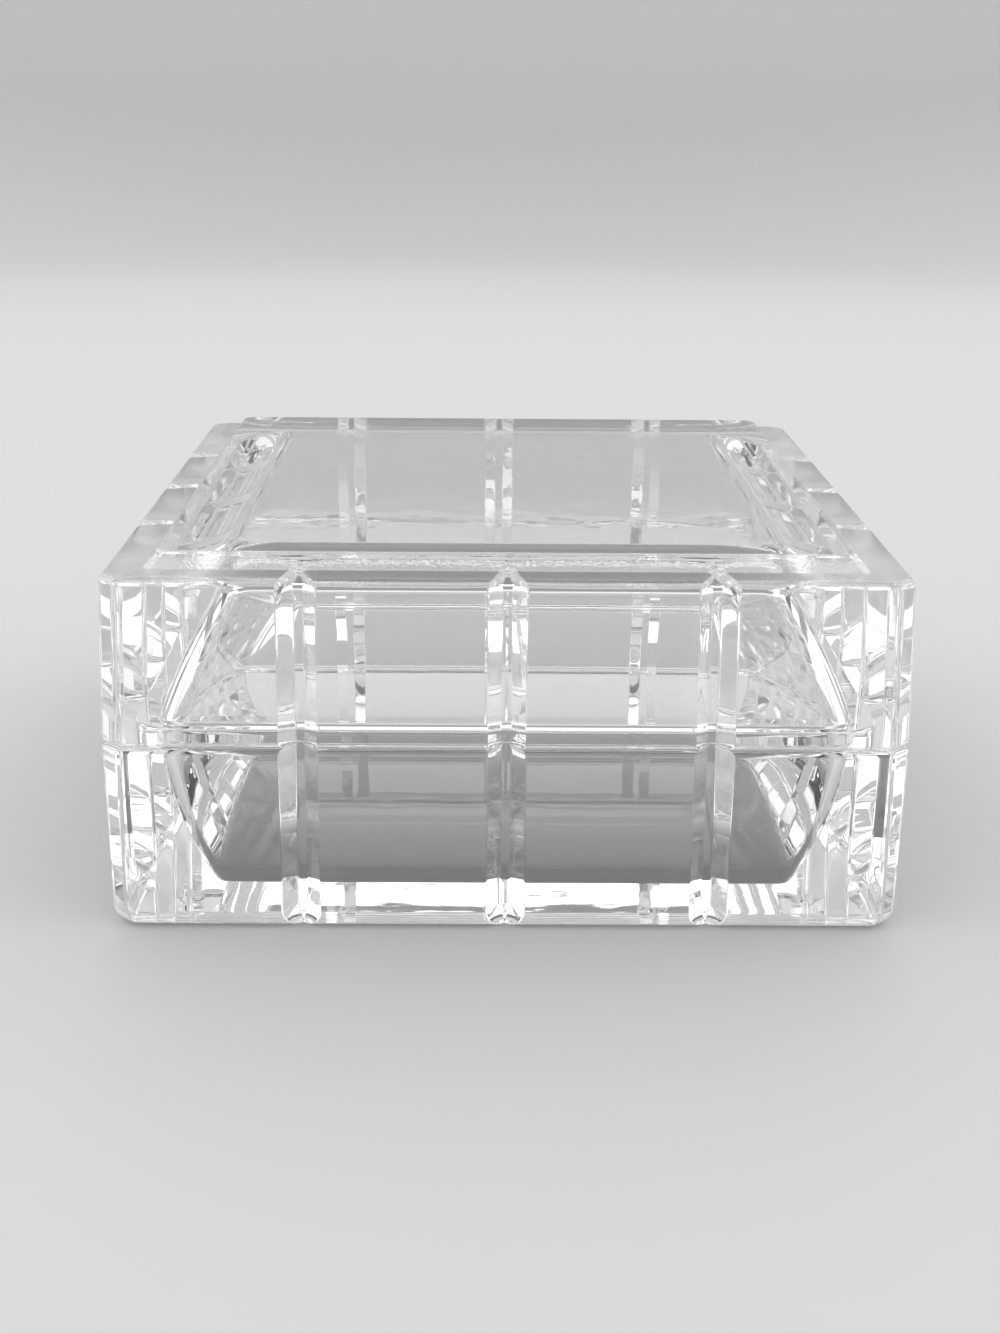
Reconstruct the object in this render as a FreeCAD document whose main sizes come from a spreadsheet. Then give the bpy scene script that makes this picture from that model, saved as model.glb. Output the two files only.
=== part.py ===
import FreeCAD, Part
import os

# Driving dimensions of the glass trinket box, in millimetres.
# X is the width, Y the depth with the front at -Y, and Z is up from the middle of the underside.
# A draft is how far each side leans in over its height, and a wall is measured from the outside.
SIZES = {
    "box_width": 100.0,
    "box_depth": 114.0,
    "corner_cut": 2.5,
    "base_height": 24.1,
    "base_draft": 0.5,
    "foot_round": 2.6,
    "lid_height": 21.3,
    "lid_draft": 0.5,
    "shoulder_round": 1.0,
    "rim_round": 0.8,
    "panel_foot_border": 4.8,
    "panel_border": 6.2,
    "panel_rise": 2.0,
    "panel_corner_round": 1.5,
    "panel_edge_round": 0.4,
    "wall_at_rim": 6.7,
    "base_wall_at_floor": 12.5,
    "lid_wall_at_ceiling": 11.0,
    "floor_thickness": 3.2,
    "ceiling_thickness": 5.0,
    "cavity_corner_round": 6.0,
    "floor_round": 2.5,
    "ceiling_round": 4.0,
    "ledge_width": 3.5,
    "lip_height": 1.4,
    "lip_side_clearance": 0.4,
    "lip_top_gap": 0.4,
    "lip_round": 0.4,
    "groove_count": 3,
    "front_groove_spacing": 25.5,
    "side_groove_spacing": 24.8,
    "groove_width": 4.9,
    "groove_depth": 3.0,
    "groove_depth_at_shoulder": 4.6,
    "groove_tip_width": 0.3,
    "cutter_overrun": 1.0,
}

FLAT = 0.01

doc = FreeCAD.newDocument("glass_trinket_box")


# Sheet of sizes

def make_sheet():
    sheet = doc.addObject("Spreadsheet::Sheet", "Sizes")
    for row, (name, value) in enumerate(SIZES.items(), start=1):
        sheet.set(f"A{row}", name)
        sheet.set(f"B{row}", str(value))
        sheet.setAlias(f"B{row}", name)
    doc.recompute()


def bound(expression):
    """The expression with each size name turned into a reference to its cell."""
    words = expression.replace("(", "( ").replace(")", " )").split()
    return " ".join(f"Sizes.{word}" if word in SIZES else word for word in words)


# Blocks, rounded while they are still simple, and then joined or cut from each other

def datum(body, role):
    return next(item for item in body.Origin.OriginFeatures if item.Role == role)


def slab(name, low, high, low_insets, high_insets):
    """A block between two levels whose ends are set in from the box's outside, along X and Y."""
    body = doc.addObject("PartDesign::Body", name)
    block = body.newObject("PartDesign::AdditiveWedge", f"{name}_block")
    block.AttachmentSupport = [(datum(body, "XY_Plane"), "")]
    block.MapMode = "FlatFace"
    block.AttachmentOffset = FreeCAD.Placement(
        FreeCAD.Vector(0, 0, 0), FreeCAD.Rotation(FreeCAD.Vector(1, 0, 0), 90))
    block.setExpression("Ymin", bound(low))
    block.setExpression("Ymax", bound(high))
    for end, insets in (("", low_insets), ("2", high_insets)):
        for axis, outside, inset in zip("XZ", ("box_width", "box_depth"), insets):
            half = f"{outside} / 2 - ( {inset} )"
            block.setExpression(f"{axis}{end}max", bound(half))
            block.setExpression(f"{axis}{end}min", bound(f"- ( {half} )"))
    doc.recompute()
    return body


def edges_of(body, test):
    return [f"Edge{number}" for number, edge in enumerate(body.Shape.Edges, start=1)
            if test(edge.BoundBox)]


def upright(box):
    return box.ZLength > FLAT


def flat_at(height):
    def test(box):
        return box.ZLength < FLAT and abs(box.ZMin - height) < FLAT
    return test


def along(axis, height):
    """Straight edges that run along X or Y at a height."""
    def test(box):
        across = box.YLength if axis == "X" else box.XLength
        return flat_at(height)(box) and across < FLAT
    return test


def dress(body, kind, name, test, size_name, size):
    edges = (body.Tip, edges_of(body, test))
    feature = body.newObject(f"PartDesign::{kind}", name)
    feature.Base = edges
    feature.setExpression(size_name, bound(size))
    doc.recompute()


def rounded(body, name, test, radius):
    dress(body, "Fillet", name, test, "Radius", radius)


def join(body, kind, name, tools):
    feature = body.newObject("PartDesign::Boolean", name)
    feature.Type = kind
    feature.Group = tools
    doc.recompute()


def outer_form(name, low, high, low_inset, high_inset, low_round, high_round):
    """A piece's outside: two slabs with rounded edges, crossed, and the four corners cut off.

    Each slab runs past the other one, so the rounded edges meet at the corners as mitres.
    """
    past = "- cutter_overrun"
    body = slab(name, low, high, (low_inset, past), (high_inset, past))
    crossing = slab(f"{name}_crossing", low, high, (past, low_inset), (past, high_inset))
    for part, axis in ((body, "Y"), (crossing, "X")):
        ends = part.Shape.BoundBox
        rounded(part, f"{part.Name}_low", along(axis, ends.ZMin), low_round)
        rounded(part, f"{part.Name}_high", along(axis, ends.ZMax), high_round)
    corners = slab(f"{name}_corners", low, high, (past, past), (past, past))
    dress(corners, "Chamfer", f"{name}_corner_cut", upright, "Size", "corner_cut + 2 * cutter_overrun")
    join(body, "Common", f"{name}_crossed", [crossing])
    join(body, "Common", f"{name}_trimmed", [corners])
    return body


def inner_form(name, low, high, low_inset, high_inset, corner_round, rounded_end, end_round):
    """A block with rounded upright corners, and its upper or lower end rounded too."""
    body = slab(name, low, high, (low_inset, low_inset), (high_inset, high_inset))
    ends = body.Shape.BoundBox
    rounded(body, f"{name}_corners", upright, corner_round)
    if rounded_end:
        height = ends.ZMin if rounded_end == "low" else ends.ZMax
        rounded(body, f"{name}_end", flat_at(height), end_round)
    return body


def groove_tool(body, name, place, turn, tip_depth, levels):
    """A V-shaped cutter whose own y axis points into the glass, turned to the wall that it cuts.

    levels are the heights of its lower and upper ends, outside the wall and at the tip.
    """
    tool = body.newObject("PartDesign::SubtractiveWedge", name)
    tool.AttachmentSupport = [(datum(body, "XY_Plane"), "")]
    tool.MapMode = "FlatFace"
    tool.AttachmentOffset = FreeCAD.Placement(
        FreeCAD.Vector(0, 0, 0), FreeCAD.Rotation(FreeCAD.Vector(0, 0, 1), turn))
    narrowing = "( groove_width - groove_tip_width ) / 2 / groove_depth_at_shoulder"
    mouth = f"groove_width / 2 + {narrowing} * cutter_overrun"
    tip = f"groove_width / 2 - {narrowing} * ( {tip_depth} )"
    sizes = {
        "AttachmentOffset.Base.x": place[0],
        "AttachmentOffset.Base.y": place[1],
        "Ymin": "- cutter_overrun",
        "Ymax": tip_depth,
        "Xmin": f"- ( {mouth} )",
        "Xmax": mouth,
        "X2min": f"- ( {tip} )",
        "X2max": tip,
        "Zmin": levels[0],
        "Zmax": levels[1],
        "Z2min": levels[2],
        "Z2max": levels[1],
    }
    for size, expression in sizes.items():
        tool.setExpression(size, bound(expression))
    return tool


def cut_grooves(body, tip_depth, *levels):
    """Rows of upright V grooves in all four walls: one groove for each pair, repeated."""
    walls = (
        ("front", 0, "front_groove_spacing", "X_Axis", "XZ_Plane", "box_depth"),
        ("side", -90, "side_groove_spacing", "Y_Axis", "YZ_Plane", "box_width"),
    )
    for wall, turn, spacing, row_axis, mirror_plane, outside in walls:
        first = f"- {spacing} * ( groove_count - 1 ) / 2"
        face = f"- {outside} / 2"
        place = (first, face) if wall == "front" else (face, first)
        groove = groove_tool(body, f"{body.Name}_{wall}_groove", place, turn, tip_depth, levels)
        grooves = body.newObject("PartDesign::MultiTransform", f"{body.Name}_{wall}_grooves")
        grooves.Originals = [groove]
        row = body.newObject("PartDesign::LinearPattern", f"{body.Name}_{wall}_row")
        row.Direction = (datum(body, row_axis), [""])
        row.Mode = "Spacing"
        row.setExpression("Offset", bound(spacing))
        row.setExpression("Occurrences", bound("groove_count"))
        opposite = body.newObject("PartDesign::Mirrored", f"{body.Name}_{wall}_opposite")
        opposite.MirrorPlane = (datum(body, mirror_plane), [""])
        grooves.Transformations = [row, opposite]
        body.Tip = grooves
        doc.recompute()


# Base: a thick tray, with a ledge for the lid round a low lip

def make_base():
    lip_top = "base_height + lip_height"
    lip_inset = "ledge_width + lip_side_clearance"
    body = outer_form("glass_base", "0", "base_height", "base_draft", "0", "foot_round", "rim_round")
    lip = inner_form("base_lip", "base_height - cutter_overrun", lip_top, lip_inset, lip_inset,
                     f"cavity_corner_round + wall_at_rim - ( {lip_inset} )", "high", "lip_round")
    hollow = inner_form("base_hollow", "floor_thickness", f"{lip_top} + cutter_overrun",
                        "base_wall_at_floor", "wall_at_rim", "cavity_corner_round",
                        "low", "floor_round")
    join(body, "Fuse", "base_with_lip", [lip])
    join(body, "Cut", "base_hollowed", [hollow])
    bottom = "- cutter_overrun"
    cut_grooves(body, "groove_depth", bottom, "base_height + cutter_overrun", bottom)
    return body


# Lid: a thick cover with a raised panel, recessed inside its rim to pass the base's lip

def make_lid():
    shoulder = "base_height + lid_height"
    panel_top = f"{shoulder} + panel_rise"
    body = outer_form("glass_lid", "base_height", shoulder, "0", "lid_draft",
                      "rim_round", "shoulder_round")
    panel = inner_form("lid_panel", shoulder, panel_top, "lid_draft + panel_foot_border",
                       "lid_draft + panel_border", "panel_corner_round", "high", "panel_edge_round")
    hollow = inner_form("lid_hollow", "base_height - cutter_overrun",
                        f"{panel_top} - ceiling_thickness", "wall_at_rim", "lid_wall_at_ceiling",
                        "cavity_corner_round", "high", "ceiling_round")
    recess = inner_form("lid_recess", "base_height - cutter_overrun",
                        "base_height + lip_height + lip_top_gap", "ledge_width", "ledge_width",
                        "cavity_corner_round + wall_at_rim - ledge_width", None, None)
    join(body, "Fuse", "lid_with_panel", [panel])
    join(body, "Cut", "lid_hollowed", [hollow, recess])
    lean = "lid_height / ( groove_depth_at_shoulder - groove_depth )"
    outside_level = f"base_height - {lean} * ( groove_depth + cutter_overrun )"
    cut_grooves(body, "groove_depth_at_shoulder", outside_level,
                f"{shoulder} + cutter_overrun", shoulder)
    return body


def check_document():
    for item in doc.Objects:
        for state in ("Invalid", "Error"):
            if state in item.State:
                raise RuntimeError(f"{item.Label} is {state}")


def write_piece(body):
    if body.Shape.isNull() or not body.Shape.isValid():
        raise RuntimeError(f"{body.Label} has no valid shape")
    if len(body.Shape.Solids) != 1:
        raise RuntimeError(f"{body.Label} has {len(body.Shape.Solids)} solids")
    body.Shape.exportStep(f"parts/{body.Label}.step")
    box = body.Shape.optimalBoundingBox()
    print(f"{body.Label}: {body.Shape.Volume / 1000:.1f} cm3, {box.XLength:.2f} x {box.YLength:.2f},"
          f" z {box.ZMin:.2f} to {box.ZMax:.2f}")


make_sheet()
pieces = [make_base(), make_lid()]
doc.recompute()
check_document()
os.makedirs("parts", exist_ok=True)
for piece in pieces:
    write_piece(piece)
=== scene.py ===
import math
from collections import namedtuple

import bmesh
import bpy
from mathutils import Matrix, Vector


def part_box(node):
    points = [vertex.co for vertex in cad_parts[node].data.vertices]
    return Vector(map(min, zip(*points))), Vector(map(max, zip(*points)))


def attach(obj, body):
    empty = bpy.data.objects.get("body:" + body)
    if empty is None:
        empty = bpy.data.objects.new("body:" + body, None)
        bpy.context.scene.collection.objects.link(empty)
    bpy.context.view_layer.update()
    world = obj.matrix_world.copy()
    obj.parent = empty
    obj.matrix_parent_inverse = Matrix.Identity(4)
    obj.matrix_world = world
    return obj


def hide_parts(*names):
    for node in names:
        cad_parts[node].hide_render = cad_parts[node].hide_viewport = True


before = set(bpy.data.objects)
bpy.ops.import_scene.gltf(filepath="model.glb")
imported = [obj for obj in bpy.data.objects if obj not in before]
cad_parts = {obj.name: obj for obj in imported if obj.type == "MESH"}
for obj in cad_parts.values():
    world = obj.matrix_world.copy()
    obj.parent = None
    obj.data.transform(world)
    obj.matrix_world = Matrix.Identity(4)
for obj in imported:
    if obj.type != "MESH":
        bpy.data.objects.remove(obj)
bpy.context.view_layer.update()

# A glass box in two pieces. Sizes here are in millimetres, with the front of the box at -Y.
MM = 0.001
base_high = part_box("glass_base")[1] / MM
lid_low, lid_high = (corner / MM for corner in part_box("glass_lid"))

HALF_WIDTH = base_high.x
HALF_DEPTH = base_high.y
SEAM = lid_low.z
LIP_TOP = base_high.z
LID_TOP = lid_high.z

# Outside shape. A cut corner's edges are softened by at most a share of the cut.
CORNER_CUT = 2.5
CORNER_SOFTNESS = 0.7
CORNER_SOFTNESS_SHARE = 0.4
DRAFT = 0.5
FOOT_ROUND = 2.6
RIM_ROUND = 0.8
SHOULDER_ROUND = 1.0
PANEL_RISE = 2.0
PANEL_FOOT = DRAFT + 4.8
PANEL_EDGE = DRAFT + 6.2
PANEL_EDGE_ROUND = 0.4
PANEL_CORNER = 1.0

# Inside shape. Each cavity's wall starts to curve at a height, and leans by the two angles given.
WALL_AT_RIM = 6.7
WALL_AT_CURVE = WALL_AT_RIM + 0.2
FLOOR = 3.2
FLOOR_ROUND = 1.2
BASE_CURVE_START = 21.0
BASE_LEAN = (8, 30)
TOP_THICKNESS = 5.0
CEILING = LID_TOP - TOP_THICKNESS
CEILING_ROUND = 3.0
LID_CURVE_START = 27.0
LID_LEAN = (20, 32)
CORNER_AT_RIM = 4.2
BASE_CORNER_AT_END = 1.3
LID_CORNER_AT_END = 3.0
LEDGE = 3.5
LIP_CLEARANCE = 0.4
LIP_ROUND = 0.4
SEAM_GAP = 0.06

# Grooves on each side, and the share of its straight length that they may fill
GROOVE_COUNT = 3
FRONT_SPACING = 25.5
SIDE_SPACING = 24.8
GROOVE_REACH = 0.94

# A groove's section. Its flat root is a share of the half width, and a slope makes up the rest.
# The slope's two ends are softened over a share of it. The stations are where its points lie.
GROOVE_DEPTH = 2.9
GROOVE_HALF_WIDTH = 2.4
GROOVE_ROOT_SHARE = 0.23
GROOVE_SOFTNESS = 0.08
SOFT_STATIONS = [-1, -0.5, 0, 0.5, 1]
SLOPE_STATIONS = [0.3, 0.5, 0.7]

# How a groove's ends close: at the foot, and over the lid's border up to a point on the riser
FOOT_SLANT = (1.0, 0.0)
FOOT_ARCH_POWER = 1.0
LID_SLANT = (0.33, 0.94)
LID_ARCH_POWER = 0.65
LID_ROOT_BEND = (2.8, -0.8)
APEX_ON_RISER = 0.62
STIPPLE_RISE = 3

# Counts of steps in the meshes
PANEL_STEPS = 5
CORNER_STEPS = 4
WALL_STEPS = 5
FOOT_STEPS = 14
SHOULDER_STEPS = 14
BORDER_STEPS = 10
RISER_STEPS = 15
CAVITY_STRAIGHT_STEPS = 5
CAVITY_CURVE_STEPS = 16
CAVITY_ROUND_STEPS = 7
SHARP_ANGLE = math.radians(35)
MERGE_DISTANCE = 0.000002

# A level of a piece's surface, right round the box. Its root is where the grooves are deepest.
Ring = namedtuple("Ring", "inset height leg rounded root width stipple")


def ring(inset, height, leg=None, rounded=False, root=None, width=GROOVE_HALF_WIDTH, stipple=0.0):
    """A level. Without a leg, its cut corners are those of the outline offset inwards."""
    if leg is None:
        leg = max(CORNER_CUT - inset * (2 - math.sqrt(2)), PANEL_CORNER)
    return Ring(inset, height, leg, rounded, root, width, stipple)


def mix(low, high, share):
    return low + (high - low) * share


def mix_points(low, high, share):
    """A point between two others, each given as inset and height."""
    return tuple(mix(low[axis], high[axis], share) for axis in (0, 1))


def smooth(share):
    share = min(max(share, 0.0), 1.0)
    return share * share * (3 - 2 * share)


def line(low, high, steps):
    """Points of a profile's straight part, as inset and height."""
    return [mix_points(low, high, step / steps) for step in range(steps + 1)]


def arc(centre, radius, start, end, steps):
    """Points of a profile's rounded edge, as inset and height, from one angle to another."""
    points = []
    for step in range(steps + 1):
        angle = math.radians(mix(start, end, step / steps))
        points.append((centre[0] + radius * math.cos(angle), centre[1] + radius * math.sin(angle)))
    return points


# Across a groove: a V with softened edges and a narrow flat root

def ramp(value):
    if value <= -GROOVE_SOFTNESS:
        return 0.0
    if value >= GROOVE_SOFTNESS:
        return value
    return (value + GROOVE_SOFTNESS) ** 2 / (4 * GROOVE_SOFTNESS)


def groove_stations():
    """Places across a groove in half widths, and how much of its full depth each has."""
    slope = 1 - GROOVE_ROOT_SHARE
    soft = [GROOVE_SOFTNESS * share for share in SOFT_STATIONS]
    ways = soft + SLOPE_STATIONS + [1 + value for value in soft]
    left = []
    for way in ways:
        depth = ramp(way) if way < 0.5 else 1 - ramp(1 - way)
        left.append((-(1 - way * slope), depth))
    return left + [(0.0, 1.0)] + [(-place, depth) for place, depth in reversed(left)]


STATIONS = groove_stations()

# The four sides: along, outward, half their length, how far out they lie, and the groove spacing
SIDES = (
    (Vector((1, 0)), Vector((0, -1)), HALF_WIDTH, HALF_DEPTH, FRONT_SPACING),
    (Vector((0, 1)), Vector((1, 0)), HALF_DEPTH, HALF_WIDTH, SIDE_SPACING),
    (Vector((-1, 0)), Vector((0, 1)), HALF_WIDTH, HALF_DEPTH, FRONT_SPACING),
    (Vector((0, -1)), Vector((-1, 0)), HALF_DEPTH, HALF_WIDTH, SIDE_SPACING),
)


def side_places(straight, spacing, width):
    """Places along a side between its two corners, and the groove depth share at each."""
    centres = [spacing * (number - (GROOVE_COUNT - 1) / 2) for number in range(GROOVE_COUNT)]
    reach = -STATIONS[0][0]
    full = centres[-1] + reach * GROOVE_HALF_WIDTH
    squeeze = min(1.0, GROOVE_REACH * straight / full)
    places = []
    start = -straight
    for centre in centres:
        edge = (centre - reach * width) * squeeze
        places += [(mix(start, edge, step / PANEL_STEPS), 0.0) for step in range(1, PANEL_STEPS)]
        places += [((centre + place * width) * squeeze, depth) for place, depth in STATIONS]
        start = (centre + reach * width) * squeeze
    places += [(mix(start, straight, step / PANEL_STEPS), 0.0) for step in range(1, PANEL_STEPS)]
    return places


def corner_points(corner, along, outward, level):
    """A corner between two sides: a soft-edged flat cut, or a quarter round with as many points."""
    points = []
    if level.rounded:
        centre = corner - (along + outward) * level.leg
        count = 2 * CORNER_STEPS - 1
        for step in range(count + 1):
            angle = math.pi / 2 * step / count
            points.append(centre + (outward * math.cos(angle) + along * math.sin(angle)) * level.leg)
        return points
    soft = corner_softness(level)
    across = (along - outward).normalized()
    bends = ((corner - along * level.leg, along, across),
             (corner - outward * level.leg, across, -outward))
    for bend, before, after in bends:
        start = bend - before * soft
        end = bend + after * soft
        for step in range(CORNER_STEPS):
            share = step / (CORNER_STEPS - 1)
            points.append(start.lerp(bend, share).lerp(bend.lerp(end, share), share))
    return points


def corner_softness(level):
    return min(CORNER_SOFTNESS, CORNER_SOFTNESS_SHARE * level.leg)


def ring_points(level):
    """The points of one ring and the stipple at each, with the grooves carried to their roots."""
    points = []
    for along, outward, half_length, half_across, spacing in SIDES:
        end = half_length - level.inset
        straight = end - level.leg - (0 if level.rounded else corner_softness(level))
        for place, depth in side_places(straight, spacing, level.width):
            inset, height = level.inset, level.height
            if level.root:
                inset, height = mix_points((inset, height), level.root, depth)
            flat = along * place + outward * (half_across - inset)
            points.append((Vector((flat.x, flat.y, height)), level.stipple * (1 - depth)))
        corner = along * end + outward * (half_across - level.inset)
        for flat in corner_points(corner, along, outward, level):
            points.append((Vector((flat.x, flat.y, level.height)), level.stipple))
    return points


def add_object(name, mesh):
    """A new object of a finished mesh, in the scene."""
    data = bpy.data.meshes.new(name)
    mesh.to_mesh(data)
    mesh.free()
    added = bpy.data.objects.new(name, data)
    bpy.context.scene.collection.objects.link(added)
    return added


def skin(name, levels):
    """A closed mesh through the rings, with its two flat ends filled."""
    mesh = bmesh.new()
    stipple = mesh.verts.layers.float.new("stipple")
    rows = []
    for level in levels:
        row = []
        for point, amount in ring_points(level):
            vertex = mesh.verts.new(point * MM)
            vertex[stipple] = amount
            row.append(vertex)
        rows.append(row)
    count = len(rows[0])
    for row, following in zip(rows, rows[1:]):
        for index in range(count):
            after = (index + 1) % count
            mesh.faces.new((row[index], row[after], following[after], following[index]))
    mesh.faces.new(reversed(rows[0]))
    mesh.faces.new(rows[-1])
    bmesh.ops.remove_doubles(mesh, verts=mesh.verts, dist=MERGE_DISTANCE)
    bmesh.ops.dissolve_degenerate(mesh, edges=mesh.edges, dist=MERGE_DISTANCE)
    bmesh.ops.recalc_face_normals(mesh, faces=mesh.faces)
    for face in mesh.faces:
        face.smooth = True
    for edge in mesh.edges:
        edge.smooth = edge.calc_face_angle(0) < SHARP_ANGLE
    piece = add_object(name, mesh)
    normals = piece.modifiers.new("even_normals", "WEIGHTED_NORMAL")
    normals.keep_sharp = True
    return piece


# Levels of the surfaces, each a list of rings

def wall(low, high):
    """Levels of a grooved wall between two points. It leans, and its grooves keep one depth."""
    levels = []
    for inset, height in line(low, high, WALL_STEPS):
        levels.append(ring(inset, height, root=(inset + GROOVE_DEPTH, height)))
    return levels


def arch(points, root_start, root_bend, root_end, slant, power, stipple=0.0):
    """Levels over which a groove closes to a point, while its root follows a curve to the end.

    It closes by how far each level lies along a slanting direction, given as inset and height.
    The stipple comes in over the first part of that way.
    """
    ways = [slant[0] * inset + slant[1] * height for inset, height in points]
    levels = []
    for point, way in zip(points, ways):
        share = (way - ways[0]) / (ways[-1] - ways[0])
        first = mix_points(root_start, root_bend, share)
        second = mix_points(root_bend, root_end, share)
        root = mix_points(first, second, share)
        width = GROOVE_HALF_WIDTH * max(1 - share, 0.0) ** power
        amount = stipple * smooth(share * STIPPLE_RISE)
        levels.append(ring(*point, root=root, width=width, stipple=amount))
    return levels


def rim(seam, direction):
    """Levels of a rounded rim, where the groove roots run on straight."""
    levels = []
    centre = (RIM_ROUND, seam + direction * RIM_ROUND)
    for inset, height in arc(centre, RIM_ROUND, 180, 180 + direction * 90, CORNER_STEPS):
        width = GROOVE_HALF_WIDTH * (1 - inset / GROOVE_DEPTH)
        levels.append(ring(inset, height, root=(GROOVE_DEPTH, height), width=width))
    return levels


def inner(points, corner_at_end):
    """Levels of the cavity, whose upright corners grow sharper away from the rim."""
    levels = []
    for inset, height in points:
        depth = abs(height - SEAM) / (LID_TOP - SEAM)
        leg = mix(CORNER_AT_RIM, corner_at_end, smooth(depth)) + max(WALL_AT_RIM - inset, 0)
        levels.append(ring(inset, height, leg=leg, rounded=True))
    return levels


def cavity(start, straight_end, lean, end, end_round, direction):
    """A cavity's side from the rim to its flat end: straight, then curved, then rounded.

    lean gives how many degrees the wall is off upright, where its curve begins and ends.
    """
    first, last = (math.radians(angle) for angle in lean)
    points = line(start, straight_end, CAVITY_STRAIGHT_STEPS)[1:]
    turn = end_round * (1 - math.sin(last))
    rise = abs(end - straight_end[1]) - turn
    radius = rise / (math.sin(last) - math.sin(first))
    for step in range(1, CAVITY_CURVE_STEPS + 1):
        angle = mix(first, last, step / CAVITY_CURVE_STEPS)
        points.append((straight_end[0] + radius * (math.cos(first) - math.cos(angle)),
                       straight_end[1] + direction * radius * (math.sin(angle) - math.sin(first))))
    inset, height = points[-1]
    for step in range(1, CAVITY_ROUND_STEPS + 1):
        angle = mix(last, math.pi / 2, step / CAVITY_ROUND_STEPS)
        points.append((inset + end_round * (math.cos(last) - math.cos(angle)),
                       height + direction * end_round * (math.sin(angle) - math.sin(last))))
    return points


def base_levels():
    """From the underside up the outside, over the lip and down the well to its floor."""
    foot_centre = (DRAFT + FOOT_ROUND, FOOT_ROUND)
    foot = arc(foot_centre, FOOT_ROUND, 180, 270, FOOT_STEPS)
    root_top = DRAFT + GROOVE_DEPTH
    levels = arch(foot, (root_top, FOOT_ROUND), (root_top, FOOT_ROUND / 2), foot[-1],
                  FOOT_SLANT, FOOT_ARCH_POWER)[::-1]
    levels += wall((DRAFT, FOOT_ROUND), (0, SEAM - RIM_ROUND))[1:]
    levels += rim(SEAM, -1)[1:]
    lip_side = LEDGE + LIP_CLEARANCE
    lip = [(lip_side, SEAM)]
    lip += arc((lip_side + LIP_ROUND, LIP_TOP - LIP_ROUND), LIP_ROUND, 180, 90, CORNER_STEPS)
    lip += arc((WALL_AT_RIM - LIP_ROUND, LIP_TOP - LIP_ROUND), LIP_ROUND, 90, 0, CORNER_STEPS)
    levels += inner(lip, BASE_CORNER_AT_END)
    rim_point = (WALL_AT_RIM, LIP_TOP - LIP_ROUND)
    curve_start = (WALL_AT_CURVE, BASE_CURVE_START)
    side = cavity(rim_point, curve_start, BASE_LEAN, FLOOR, FLOOR_ROUND, -1)
    levels += inner(side, BASE_CORNER_AT_END)
    return levels


def lid_levels():
    """From the panel down the outside, past the recess for the lip and up to the ceiling."""
    shoulder = LID_TOP - PANEL_RISE
    riser_foot = (PANEL_FOOT, shoulder)
    riser_top = (PANEL_EDGE, LID_TOP - PANEL_EDGE_ROUND)
    apex = mix_points(riser_foot, riser_top, APEX_ON_RISER)
    edge = arc((PANEL_EDGE + PANEL_EDGE_ROUND, riser_top[1]), PANEL_EDGE_ROUND, 90, 180, CORNER_STEPS)
    levels = [ring(*point, width=0.0) for point in edge]
    round_centre = (DRAFT + SHOULDER_ROUND, shoulder - SHOULDER_ROUND)
    outline = arc(round_centre, SHOULDER_ROUND, 180, 90, SHOULDER_STEPS)
    outline += line(outline[-1], riser_foot, BORDER_STEPS)[1:]
    outline += line(riser_foot, apex, RISER_STEPS)[1:]
    root_start = (DRAFT + GROOVE_DEPTH, round_centre[1])
    root_bend = (root_start[0] + LID_ROOT_BEND[0], root_start[1] + LID_ROOT_BEND[1])
    levels += arch(outline, root_start, root_bend, apex,
                   LID_SLANT, LID_ARCH_POWER, stipple=1.0)[::-1]
    levels += wall((0, SEAM + SEAM_GAP + RIM_ROUND), outline[0])[::-1][1:]
    levels += rim(SEAM + SEAM_GAP, 1)[1:]
    recess = LIP_TOP + LIP_CLEARANCE
    step_in = [(LEDGE, SEAM + SEAM_GAP)]
    step_in += arc((LEDGE + LIP_ROUND, recess - LIP_ROUND), LIP_ROUND, 180, 90, CORNER_STEPS)
    step_in += arc((WALL_AT_RIM - LIP_ROUND, recess + LIP_ROUND), LIP_ROUND, 270, 360, CORNER_STEPS)
    levels += inner(step_in, LID_CORNER_AT_END)
    curve_start = (WALL_AT_CURVE, LID_CURVE_START)
    side = cavity(step_in[-1], curve_start, LID_LEAN, CEILING, CEILING_ROUND, 1)
    levels += inner(side, LID_CORNER_AT_END)
    return levels


# Clear pressed glass: gentle waves everywhere, and a fine stipple on the lid's border.
# Its heights are in metres, and its smudges are where the noise lies in a range of values.

WAVE_SCALE = 90
WAVE_HEIGHT = 0.00002
RIPPLE_SCALE = 420
RIPPLE_HEIGHT = 0.0000012
STIPPLE_SCALE = 2600
STIPPLE_HEIGHT = 0.00006
STIPPLE_ROUGHNESS = 0.16
SMUDGE_SCALE = 45
SMUDGE_DETAIL = 6.0
SMUDGE_NOISE = (0.4, 0.75)
SMUDGE_ROUGHNESS = (0.0, 0.025)
PLAIN_DETAIL = 2.0
GLASS_TINT = (0.985, 0.992, 0.988, 1)
GLASS_IOR = 1.51
LAMP_LIGHT_PASSED = (0.92, 0.93, 0.925, 1)


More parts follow.
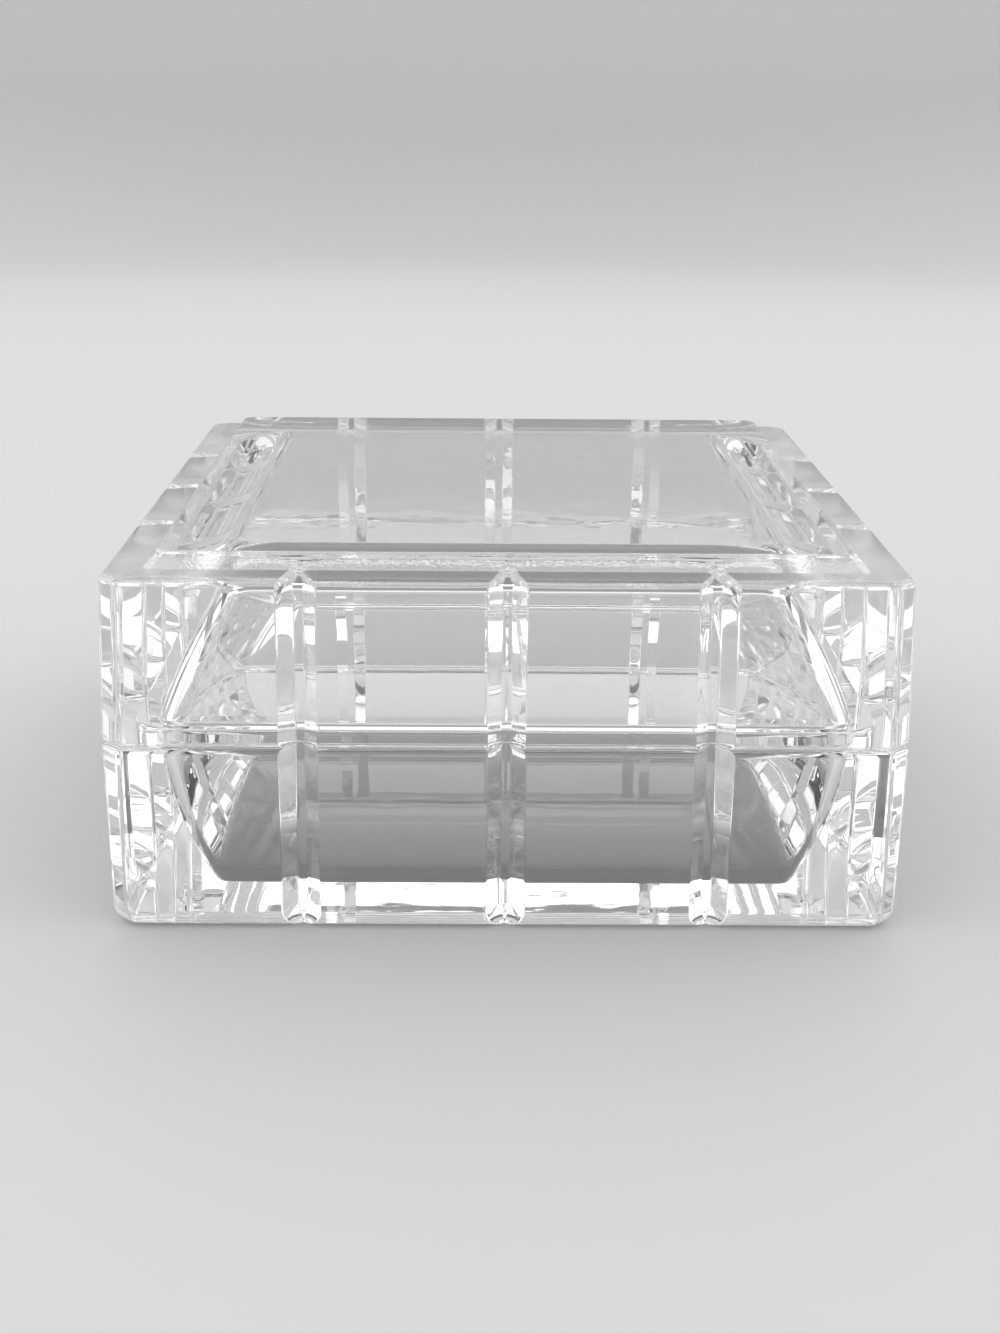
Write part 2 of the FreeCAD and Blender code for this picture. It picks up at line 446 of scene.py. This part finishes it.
class Nodes:
    """Short calls for a material's or world's node tree."""

    def __init__(self, owner):
        owner.use_nodes = True
        self.tree = owner.node_tree
        self.tree.nodes.clear()

    def add(self, kind, links=(), **settings):
        node = self.tree.nodes.new(kind)
        for name, value in settings.items():
            setattr(node, name, value)
        for socket, value in dict(links).items():
            if isinstance(value, bpy.types.NodeSocket):
                self.tree.links.new(value, node.inputs[socket])
            else:
                node.inputs[socket].default_value = value
        return node

    def math(self, operation, first, second):
        return self.add("ShaderNodeMath", {0: first, 1: second}, operation=operation).outputs[0]

    def noise(self, scale, detail=PLAIN_DETAIL):
        place = self.add("ShaderNodeTexCoord").outputs["Object"]
        links = {"Vector": place, "Scale": scale, "Detail": detail}
        return self.add("ShaderNodeTexNoise", links).outputs["Fac"]

    def map_range(self, value, span, result):
        links = {"Value": value, "From Min": span[0], "From Max": span[1],
                 "To Min": result[0], "To Max": result[1]}
        return self.add("ShaderNodeMapRange", links).outputs["Result"]

    def bump(self, height, distance, before=None):
        links = {"Height": height, "Distance": distance, "Strength": 1.0}
        if before:
            links["Normal"] = before
        return self.add("ShaderNodeBump", links).outputs["Normal"]


def glass_material():
    material = bpy.data.materials.new("clear_pressed_glass")
    nodes = Nodes(material)
    stipple = nodes.add("ShaderNodeAttribute", attribute_name="stipple").outputs["Fac"]
    waves = nodes.bump(nodes.noise(WAVE_SCALE), WAVE_HEIGHT)
    ripples = nodes.bump(nodes.noise(RIPPLE_SCALE), RIPPLE_HEIGHT, waves)
    grains = nodes.math("MULTIPLY", nodes.noise(STIPPLE_SCALE), stipple)
    normal = nodes.bump(grains, STIPPLE_HEIGHT, ripples)
    smudge_noise = nodes.noise(SMUDGE_SCALE, SMUDGE_DETAIL)
    smudges = nodes.map_range(smudge_noise, SMUDGE_NOISE, SMUDGE_ROUGHNESS)
    roughness = nodes.math("ADD", smudges, nodes.math("MULTIPLY", stipple, STIPPLE_ROUGHNESS))
    shader = nodes.add("ShaderNodeBsdfPrincipled", {
        "Base Color": GLASS_TINT, "Transmission Weight": 1.0, "IOR": GLASS_IOR,
        "Roughness": roughness, "Normal": normal})
    passing = nodes.add("ShaderNodeBsdfTransparent", {"Color": LAMP_LIGHT_PASSED})
    shadow_ray = nodes.add("ShaderNodeLightPath").outputs["Is Shadow Ray"]
    surface = nodes.add("ShaderNodeMixShader", {
        0: shadow_ray, 1: shader.outputs["BSDF"], 2: passing.outputs["BSDF"]})
    nodes.add("ShaderNodeOutputMaterial", {"Surface": surface.outputs["Shader"]})
    return material


# Floor that rises into a round backdrop, in metres. It lies just under the box, not touching it.

FLOOR_RADIUS = 0.9
FLOOR_DEPTH = 0.00002
BACKDROP_ROUND = 0.5
BACKDROP_TOP = 0.6
BACKDROP_SIDES = 96
BACKDROP_STEPS = 12
FLOOR_TONE = (0.84, 0.845, 0.85, 1)
FLOOR_ROUGHNESS = 0.6


def make_floor():
    mesh = bmesh.new()
    outline = [(FLOOR_RADIUS, 0.0)]
    for step in range(1, BACKDROP_STEPS + 1):
        angle = math.pi / 2 * step / BACKDROP_STEPS
        outline.append((FLOOR_RADIUS + BACKDROP_ROUND * math.sin(angle),
                        BACKDROP_ROUND * (1 - math.cos(angle))))
    outline.append((FLOOR_RADIUS + BACKDROP_ROUND, BACKDROP_TOP))
    turns = [2 * math.pi * side / BACKDROP_SIDES for side in range(BACKDROP_SIDES)]
    rows = []
    for radius, height in outline:
        rows.append([mesh.verts.new((radius * math.cos(turn), radius * math.sin(turn),
                                     height - FLOOR_DEPTH)) for turn in turns])
    mesh.faces.new(rows[0])
    for row, following in zip(rows, rows[1:]):
        for side in range(BACKDROP_SIDES):
            after = (side + 1) % BACKDROP_SIDES
            mesh.faces.new((row[side], following[side], following[after], row[after]))
    for face in mesh.faces:
        face.smooth = len(face.verts) == 4
    floor = add_object("studio_floor", mesh)
    material = bpy.data.materials.new("pale_floor")
    nodes = Nodes(material)
    shader = nodes.add("ShaderNodeBsdfPrincipled", {
        "Base Color": FLOOR_TONE, "Roughness": FLOOR_ROUGHNESS})
    nodes.add("ShaderNodeOutputMaterial", {"Surface": shader.outputs["BSDF"]})
    floor.data.materials.append(material)


# Each lamp's name, place and size in metres, and power in watts. All face the middle of the box.
LAMPS = (
    ("left_lamp", (-0.65, -0.25, 0.55), (1.2, 0.95), 3.3),
    ("right_lamp", (0.65, -0.15, 0.55), (1.2, 0.95), 2.7),
    ("back_lamp", (0.0, 0.75, 0.6), (1.5, 0.6), 2.7),
)


def make_lamp(name, place, size, power):
    data = bpy.data.lights.new(name, "AREA")
    data.shape = "RECTANGLE"
    data.size, data.size_y = size
    data.energy = power
    lamp = bpy.data.objects.new(name, data)
    lamp.location = place
    aim = Vector((0, 0, LID_TOP * MM / 2)) - lamp.location
    lamp.rotation_euler = aim.to_track_quat("-Z", "Y").to_euler()
    bpy.context.scene.collection.objects.link(lamp)


# Surroundings: a bright edge that turns darker over a band of heights
SKY_EDGE = 0.8
SKY_TOP = 0.35
SKY_BAND = (0.3, 0.55)


def make_sky():
    world = bpy.data.worlds.new("studio")
    bpy.context.scene.world = world
    nodes = Nodes(world)
    place = nodes.add("ShaderNodeTexCoord").outputs["Generated"]
    height = nodes.add("ShaderNodeSeparateXYZ", {0: place}).outputs["Z"]
    tone = nodes.map_range(height, SKY_BAND, (SKY_EDGE, SKY_TOP))
    sky = nodes.add("ShaderNodeBackground", {"Color": tone, "Strength": 1.0})
    nodes.add("ShaderNodeOutputWorld", {"Surface": sky.outputs["Background"]})


# Where the camera stood, in millimetres and degrees. Its sensor's width lies along the frame's
# height, as that is the longer side.
CAMERA_PLACE = Vector((-3.91, -288.67, 103.12))
CAMERA_PITCH = math.radians(16.41)
CAMERA_YAW = math.radians(-0.74)
CAMERA_ROLL = math.radians(0.53)
FOCAL_PIXELS = 2000
FRAME_HEIGHT_PIXELS = 1333
NEAREST_SEEN = 0.01


def make_camera():
    data = bpy.data.cameras.new("camera")
    data.lens = data.sensor_width * FOCAL_PIXELS / FRAME_HEIGHT_PIXELS
    data.clip_start = NEAREST_SEEN
    camera = bpy.data.objects.new("camera", data)
    forward = Vector((math.sin(-CAMERA_YAW) * math.cos(CAMERA_PITCH),
                      math.cos(CAMERA_YAW) * math.cos(CAMERA_PITCH), -math.sin(CAMERA_PITCH)))
    level = Vector((math.cos(CAMERA_YAW), math.sin(CAMERA_YAW), 0))
    level = (level - forward * level.dot(forward)).normalized()
    upward = level.cross(forward)
    right = level * math.cos(CAMERA_ROLL) + upward * math.sin(CAMERA_ROLL)
    top = right.cross(forward)
    turn = Matrix((right, top, -forward)).transposed().to_4x4()
    camera.matrix_world = Matrix.Translation(CAMERA_PLACE * MM) @ turn
    bpy.context.scene.collection.objects.link(camera)
    bpy.context.scene.camera = camera


def dress(piece, body, node, material):
    piece.data.materials.append(material)
    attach(piece, body)
    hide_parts(node)


glass = glass_material()
dress(skin("cast_base", base_levels()), "base", "glass_base", glass)
dress(skin("cast_lid", lid_levels()), "lid", "glass_lid", glass)

make_floor()
for name, place, size, power in LAMPS:
    make_lamp(name, place, size, power)
make_sky()
make_camera()

bpy.context.scene.view_settings.view_transform = "Standard"

# Light is led along inside the thick glass, so rays have to be followed through many turns
LIGHT_TURNS = 20
cycles = bpy.context.scene.cycles
cycles.max_bounces = LIGHT_TURNS
cycles.transmission_bounces = LIGHT_TURNS
cycles.glossy_bounces = LIGHT_TURNS
cycles.transparent_max_bounces = LIGHT_TURNS
cycles.caustics_refractive = False
cycles.caustics_reflective = False
